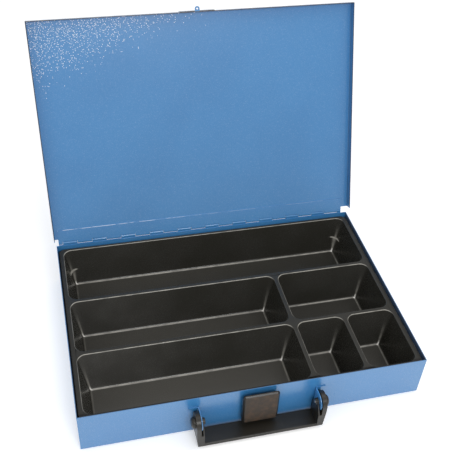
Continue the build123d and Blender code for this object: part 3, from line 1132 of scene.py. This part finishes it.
    def round_lips(self, piece: bpy.types.Object) -> None:
        """Round the compartments' mouths.

        Args:
            piece: The open shell.
        """
        mesh = piece.data
        bpy.ops.object.mode_set(mode="EDIT")
        bpy.ops.mesh.select_mode(type="EDGE")
        bpy.ops.mesh.select_all(action="DESELECT")
        bpy.ops.mesh.edges_select_sharp(sharpness=radians(45))
        bpy.ops.object.mode_set(mode="OBJECT")
        flush = (self.top - self.level) * MILLIMETRE
        for edge in mesh.edges:
            edge.select = edge.select and all(mesh.vertices[index].co.z > flush for index in edge.vertices)
        bpy.ops.object.mode_set(mode="EDIT")
        bpy.ops.mesh.bevel(offset=self.lip_round * MILLIMETRE, segments=4, affect="EDGES")
        bpy.ops.object.mode_set(mode="OBJECT")

    def mark_corners(self, piece: bpy.types.Object) -> None:
        """Note how deep each point lies in a compartment's upright corner, for the finish.

        Args:
            piece: The shell.
        """
        marks = piece.data.attributes.new(CORNER_MARK, "FLOAT", "POINT")
        slope = tan(radians(self.draft))
        for vertex, mark in zip(piece.data.vertices, marks.data):
            x, y, z = vertex.co / MILLIMETRE
            inset = (self.top - z) * slope
            for left, front, right, back in (self.back, *self.others):
                across = min(x - left, right - x) - inset
                along = min(y - front, back - y) - inset
                near, far = sorted((across, along))
                in_corner = near > 0.05 and far < self.corner + self.corner_reach
                if in_corner and z < self.top - self.corner_top:
                    mark.value = near / far


@dataclass
class Handle:
    """The handle and its pins."""

    edge: float = 0.6

    def build(self, finishes: Wardrobe) -> None:
        """Dress the handle.

        Args:
            finishes: The box's materials.
        """
        piece = softened("handle", "handle_moulded", self.edge)
        fasten(piece, Body.HANDLE, finishes.moulded)
        for side in ("left", "right"):
            dress(bpy.data.objects[f"handle_pin_{side}"], finishes.steel)


@dataclass
class Latch:
    """The latch lever and what carries it; spring points in front of spring_end, in millimetres, are moved back."""

    edge: float = 0.35
    spring_end: float = -122.15
    spring_room: float = 1.3

    def build(self, finishes: Wardrobe) -> None:
        """Dress the latch.

        Args:
            finishes: The box's materials.
        """
        piece = softened("latch_lever", "latch_lever_moulded", self.edge)
        fasten(piece, Body.LATCH, finishes.latch)
        dress(bpy.data.objects["latch_housing"], finishes.moulded)
        fasten(self.spring(), Body.CASE, finishes.steel)
        for node in ("latch_pin", "latch_rivet_left", "latch_rivet_right", "hinge_pin"):
            dress(bpy.data.objects[node], finishes.steel)

    def spring(self) -> bpy.types.Object:
        """Make the leaf spring, its free end moved back where the open lever needs the room.

        Returns:
            The spring.
        """
        piece = softened("latch_spring", "latch_spring_strip", 0.0)
        pick(piece, "VERT", lambda low, high: high.y < self.spring_end)
        bpy.ops.transform.translate(value=(0.0, self.spring_room * MILLIMETRE, 0.0))
        bpy.ops.object.mode_set(mode="OBJECT")
        return piece


# Studio


@dataclass(frozen=True)
class Lamp:
    """A soft square lamp that looks at the box. Lengths in metres, power in watts."""

    name: str
    place: Point
    size: float
    watts: float
    target: Point = (0.0, 0.0, 0.05)

    def hang(self) -> None:
        """Hang the lamp."""
        data = bpy.data.lights.new(self.name, "AREA")
        data.shape = "SQUARE"
        data.size = self.size
        data.energy = self.watts
        lamp = bpy.data.objects.new(self.name, data)
        bpy.context.scene.collection.objects.link(lamp)
        aim = (Vector(self.target) - Vector(self.place)).to_track_quat("-Z", "Y")
        lamp.matrix_world = Matrix.Translation(self.place) @ aim.to_matrix().to_4x4()


@dataclass
class Studio:
    """A white floor, soft lamps and the camera that the box was seen through."""

    lamps: tuple[Lamp, ...] = (
        Lamp("key_lamp", (0.16, -1.42, 1.2), 0.45, 8.6),
        Lamp("side_lamp", (-1.3, -0.3, 1.0), 0.6, 1.6),
        Lamp("top_lamp", (0.5, 0.1, 1.8), 1.2, 5.0),
    )
    floor_side: float = 6.0
    floor_height: float = -0.0004
    floor_colour: Colour = srgb(250, 250, 250)
    floor_glow: float = 0.35
    sky_light: float = 0.62
    sky_seen: float = 1.0
    frame_pixels: float = 452.0
    focal_pixels: float = 762.2
    centre_pixels: Span = (233.5, 256.1)
    sensor: float = 36.0
    eye: Point = (-157.46, -525.11, 613.27)
    right: Point = (0.9696, -0.2389, 0.0529)
    up: Point = (0.1242, 0.6667, 0.7349)
    forward: Point = (0.2108, 0.7060, -0.6761)

    def build(self) -> None:
        """Set up floor, world, lamps and camera."""
        self.floor()
        self.world()
        for lamp in self.lamps:
            lamp.hang()
        self.camera()

    def floor(self) -> None:
        """Lay the floor, white to the camera and to reflections, with its shadow kept."""
        clear_selection()
        bpy.ops.mesh.primitive_plane_add(size=self.floor_side, location=(0.0, 0.0, self.floor_height))
        piece = bpy.context.active_object
        piece.name = "studio_floor"
        ground = Shader(bpy.data.materials.new("white_floor"))
        shadow = ground.node("BsdfDiffuse", inputs={"Color": self.floor_colour})
        glow = ground.node("Emission", inputs={"Color": (1.0, 1.0, 1.0), "Strength": self.floor_glow})
        both = ground.node("AddShader", inputs={0: shadow, 1: glow})
        rays = ground.node("LightPath", out="Is Camera Ray") + ground.node("LightPath", out="Is Glossy Ray")
        cover = ground.node("MixShader", inputs={0: rays, 1: shadow, 2: both})
        ground.add("OutputMaterial", inputs={"Surface": cover})
        dress(piece, ground.owner)

    def world(self) -> None:
        """Light the world softly, and show it white to the camera."""
        sky = Shader(bpy.data.worlds.new("studio_world"))
        seen = sky.node("LightPath", out="Is Camera Ray")
        strength = seen * (self.sky_seen - self.sky_light) + self.sky_light
        back = sky.node("Background", inputs={"Color": (1.0, 1.0, 1.0), "Strength": strength})
        sky.add("OutputWorld", inputs={"Surface": back})
        bpy.context.scene.world = sky.owner

    def camera(self) -> None:
        """Place the camera as it was fitted to the box's corners."""
        data = bpy.data.cameras.new("camera")
        data.sensor_width = self.sensor
        data.lens = self.focal_pixels / self.frame_pixels * data.sensor_width
        half = self.frame_pixels / 2
        data.shift_x = (half - self.centre_pixels[0]) / self.frame_pixels
        data.shift_y = (self.centre_pixels[1] - half) / self.frame_pixels
        data.clip_start = 0.01
        data.clip_end = 50.0
        camera = bpy.data.objects.new("camera", data)
        bpy.context.scene.collection.objects.link(camera)
        columns = (Vector(self.right), Vector(self.up), -Vector(self.forward))
        turn = Matrix([[column[row] for column in columns] for row in range(3)]).to_4x4()
        camera.matrix_world = Matrix.Translation(Vector(self.eye) * MILLIMETRE) @ turn
        bpy.context.scene.camera = camera
        bpy.context.scene.view_settings.view_transform = "Standard"


def main() -> None:
    """Load the frame, build every part of the box, set up the studio and note the sizes."""
    logging.basicConfig(level=logging.INFO, format="%(name)s: %(message)s")
    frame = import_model()
    LOG.info("frame with %d nodes", len(frame["nodes"]))
    finishes = Wardrobe(
        paint=PowderCoat().make(),
        formed=FormedSheet().make(),
        moulded=Moulding().make(),
        latch=LeverMoulding().make(),
        steel=PlatedSteel().make(),
    )
    PaintedSheetWork().build(finishes)
    Insert().build(finishes)
    Handle().build(finishes)
    Latch().build(finishes)
    Studio().build()


if __name__ == "__main__":
    main()
